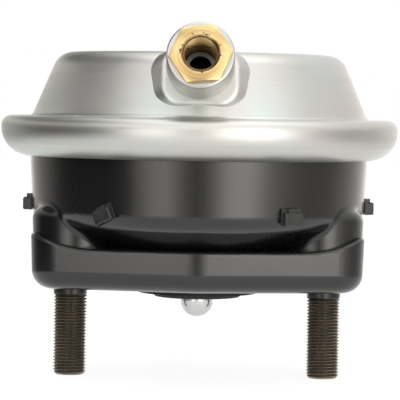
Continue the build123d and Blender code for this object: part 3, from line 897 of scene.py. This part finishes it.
def sheet_rows(line, thickness):
    """Rows round both sides of a sheet whose middle follows a line of (radius, height)."""
    outer, inner = [], []
    for index, (radius, height) in enumerate(line):
        before = line[max(index - 1, 0)]
        after = line[min(index + 1, len(line) - 1)]
        along = Vector((after[0] - before[0], after[1] - before[1])).normalized() * thickness / 2
        outer.append((radius + along.y, height - along.x))
        inner.append((radius - along.y, height + along.x))
    return outer + inner[::-1]


fold_gap = (BELLOWS_ENDS[1] - BELLOWS_ENDS[0]) / (2 * BELLOWS_FOLDS)
fold_line = (
    [(BELLOWS_MOUTHS[0], BELLOWS_ENDS[0])]
    + [(BELLOWS_RADII[fold % 2], BELLOWS_ENDS[0] + fold * fold_gap) for fold in range(2 * BELLOWS_FOLDS)]
    + [(BELLOWS_NECK_RADIUS, BELLOWS_ENDS[1]), (BELLOWS_MOUTHS[1], BELLOWS_ENDS[1])]
)
folded_bellows = new_piece(
    "folded_bellows",
    ring_mesh("folded_bellows", sheet_rows(soft_line(fold_line, 5), BELLOWS_WALL * 0.9), 72),
    "black_rubber",
    "housing",
    "bellows",
)
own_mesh(folded_bellows)

membrane_line = [
    (79.6 * MM, 74.3 * MM),
    (77.0 * MM, 75.3 * MM),
    (74.6 * MM, 77.6 * MM),
    (69.0 * MM, 91.2 * MM),
    (65.0 * MM, 99.8 * MM),
    (60.4 * MM, 103.7 * MM),
    (54.0 * MM, 104.7 * MM),
    (36.0 * MM, 104.8 * MM),
    (18.0 * MM, 104.8 * MM),
    (0.4 * MM, 104.8 * MM),
]
membrane = new_piece(
    "rubber_membrane",
    ring_mesh("rubber_membrane", sheet_rows(soft_line(membrane_line, 6), DIAPHRAGM_THICKNESS * 0.95), 96),
    "black_rubber",
    None,
    "diaphragm",
)
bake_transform(membrane, "housing", "piston", (0, 0, DIAPHRAGM_CLAMP), (0, 0, 0.103))

# ------------------------------------------------------------------------------ studio

CAMERA_PLACE = (0.00075, -1.2, 0.088)
CAMERA_AIM = (0.00075, 0, 0.0405)
CAMERA_ROLL = radians(0.95)
LENS_LENGTH = 227.0
SENSOR_WIDTH = 36.0

FLOOR_HALF_SIZE = 4.0
FLOOR_GLOW = 0.90
WORLD_LIGHT = 0.55
MIDDLE = (0, 0, 0.04)

# name, place, width, height and power
LAMPS = (
    ("left softbox", (-0.70, -1.30, 0.55), 1.5, 1.2, 6.0),
    ("right softbox", (0.85, -1.20, 0.55), 1.6, 1.2, 5.8),
    ("top softbox", (0.1, -0.1, 1.5), 1.6, 1.6, 9.0),
)
# name, place, width, height and brightness
CARDS = (
    ("left card", (-0.86, 0.15, 0.75), 1.0, 1.1, 0.12),
    ("back card", (-0.50, 0.95, 0.60), 0.9, 0.9, 0.05),
)


def turn_to(piece, place, aim):
    """Stands a lamp, a card or the camera at a place and turns it to face a point."""
    piece.location = place
    piece.rotation_mode = "QUATERNION"
    piece.rotation_quaternion = (Vector(aim) - Vector(place)).to_track_quat("-Z", "Y")


def make_camera():
    """Long lens a little above the rim, square to the port and rolled by about a degree."""
    lens = bpy.data.cameras.new("camera")
    lens.sensor_width = SENSOR_WIDTH
    lens.lens = LENS_LENGTH
    camera = bpy.data.objects.new("camera", lens)
    turn_to(camera, CAMERA_PLACE, CAMERA_AIM)
    camera.rotation_quaternion = camera.rotation_quaternion @ Quaternion((0, 0, 1), CAMERA_ROLL)
    bpy.context.scene.collection.objects.link(camera)
    bpy.context.scene.camera = camera


def seen_directly(tree):
    """1 for what the camera, a mirror or a lens sees, 0 for light that spreads."""
    path = put(tree, "ShaderNodeLightPath").outputs
    either = calc(tree, "MAXIMUM", path["Is Camera Ray"], path["Is Glossy Ray"])
    return calc(tree, "MAXIMUM", either, path["Is Transmission Ray"])


def four_corners(across, along, level):
    """Corners of a level sheet from its two half sizes, in order round it."""
    return [(x * across, y * along, level) for x, y in ((-1, -1), (1, -1), (1, 1), (-1, 1))]


def bare_material(name):
    """A material without its usual shader; returns it and its tree."""
    material = bpy.data.materials.new(name)
    material.use_nodes = True
    material.node_tree.nodes.clear()
    return material, material.node_tree


def make_floor():
    """Pale floor under the stud tips, white where it is seen and still holding a shadow."""
    mesh = bpy.data.meshes.new("floor")
    corners = four_corners(FLOOR_HALF_SIZE, FLOOR_HALF_SIZE, cad_box[0][2])
    mesh.from_pydata(corners, [], [(0, 1, 2, 3)])
    floor = bpy.data.objects.new("floor", mesh)
    bpy.context.scene.collection.objects.link(floor)
    material, tree = bare_material("pale floor")
    plain = put(tree, "ShaderNodeBsdfDiffuse", None, {"Color": (0.8, 0.8, 0.8, 1)})
    shadowed = put(tree, "ShaderNodeBsdfDiffuse", None, {"Color": (0.2, 0.2, 0.2, 1)})
    glow = put(tree, "ShaderNodeEmission", None, {"Color": (1, 1, 1, 1), "Strength": FLOOR_GLOW})
    white = put(tree, "ShaderNodeAddShader", None, {0: shadowed.outputs[0], 1: glow.outputs[0]})
    faces = {0: seen_directly(tree), 1: plain.outputs[0], 2: white.outputs[0]}
    both = put(tree, "ShaderNodeMixShader", None, faces)
    put(tree, "ShaderNodeOutputMaterial", None, {"Surface": both.outputs[0]})
    mesh.materials.append(material)


def make_world():
    """White all round where it is seen, softer where it only lights."""
    world = bpy.data.worlds.new("studio")
    world.use_nodes = True
    tree = world.node_tree
    backdrop = tree.nodes["Background"]
    backdrop.inputs["Color"].default_value = (1, 1, 1, 1)
    strength = spread(tree, seen_directly(tree), 0.0, 1.0, WORLD_LIGHT, 1.0)
    tree.links.new(strength, backdrop.inputs["Strength"])
    bpy.context.scene.world = world


def make_lamp(name, place, width, height, power):
    """Rectangular softbox at a place, turned to face the object."""
    light = bpy.data.lights.new(name, "AREA")
    light.shape = "RECTANGLE"
    light.size = width
    light.size_y = height
    light.energy = power
    lamp = bpy.data.objects.new(name, light)
    turn_to(lamp, place, MIDDLE)
    lamp.visible_camera = False
    bpy.context.scene.collection.objects.link(lamp)


def seen_in_gloss(name, mesh, material):
    """Stands a card or screen in the studio that only shows as a reflection."""
    mesh.materials.append(material)
    screen = bpy.data.objects.new(name, mesh)
    bpy.context.scene.collection.objects.link(screen)
    screen.visible_camera = False
    screen.visible_shadow = False
    screen.visible_diffuse = False
    return screen


def make_card(name, place, width, height, tone):
    """Plain card at a place, turned to face the object."""
    mesh = bpy.data.meshes.new(name)
    mesh.from_pydata(four_corners(width / 2, height / 2, 0), [], [(0, 1, 2, 3)])
    material, tree = bare_material(name)
    face = put(tree, "ShaderNodeEmission", None, {"Color": (tone, tone, tone, 1), "Strength": 1.0})
    put(tree, "ShaderNodeOutputMaterial", None, {"Surface": face.outputs[0]})
    turn_to(seen_in_gloss(name, mesh, material), place, MIDDLE)


SCREEN_RADIUS = 0.34
SCREEN_TOP = 0.22
SCREEN_FADE = 0.11
SCREEN_STEPS = 90
SCREEN_BRIGHTEST = 4.0
# brightness of the screen by its angle from the camera, with the right side positive
SCREEN_TONES = (
    (-180, 2.2),
    (-156, 1.6),
    (-138, 0.7),
    (-112, 0.42),
    (-92, 0.06),
    (-56, 0.02),
    (-43, 0.16),
    (-31, 1.9),
    (-19, 2.7),
    (-9, 0.9),
    (0, 0.12),
    (9, 1.3),
    (19, 3.9),
    (31, 3.9),
    (43, 1.5),
    (58, 0.75),
    (72, 0.5),
    (90, 0.5),
    (108, 0.8),
    (130, 1.1),
    (152, 1.8),
    (180, 2.2),
)


def make_screen():
    """Low round screen whose bright and dark stretches show in the black paint."""
    mesh = bpy.data.meshes.new("round screen")
    shape = bmesh.new()
    rows = []
    turns = [2 * pi * step / SCREEN_STEPS for step in range(SCREEN_STEPS)]
    for height in (cad_box[0][2], SCREEN_TOP):
        places = [(SCREEN_RADIUS * sin(turn), -SCREEN_RADIUS * cos(turn), height) for turn in turns]
        rows.append([shape.verts.new(place) for place in places])
    for step in range(SCREEN_STEPS):
        after = (step + 1) % SCREEN_STEPS
        shape.faces.new((rows[0][step], rows[0][after], rows[1][after], rows[1][step]))
    shape.to_mesh(mesh)
    shape.free()
    material, tree = bare_material("round screen")
    part = put(tree, "ShaderNodeSeparateXYZ", None, {0: object_place(tree)}).outputs
    angle = calc(tree, "ARCTAN2", part[0], calc(tree, "MULTIPLY", part[1], -1.0))
    ramp = put(tree, "ShaderNodeValToRGB", None, {"Fac": spread(tree, angle, -pi, pi)})
    stops = ramp.color_ramp.elements
    for turned, tone in SCREEN_TONES[1:-1]:
        stops.new(turned / 360 + 0.5)
    for (turned, tone), stop in zip(SCREEN_TONES, stops):
        stop.color = (tone / SCREEN_BRIGHTEST,) * 3 + (1,)
    bright = calc(tree, "MULTIPLY", ramp.outputs[0], SCREEN_BRIGHTEST)
    fade = spread(tree, part[2], SCREEN_FADE, SCREEN_TOP, 0.0, 1.0)
    faded = calc(tree, "ADD", calc(tree, "MULTIPLY", bright, calc(tree, "SUBTRACT", 1.0, fade)), fade)
    glow = put(tree, "ShaderNodeEmission", None, {"Color": (1.0, 0.97, 0.94, 1), "Strength": faded})
    put(tree, "ShaderNodeOutputMaterial", None, {"Surface": glow.outputs[0]})
    seen_in_gloss("round screen", mesh, material)


bpy.context.scene.view_settings.view_transform = "Standard"
make_camera()
make_floor()
make_world()
for lamp_row in LAMPS:
    make_lamp(*lamp_row)
for card_row in CARDS:
    make_card(*card_row)
make_screen()
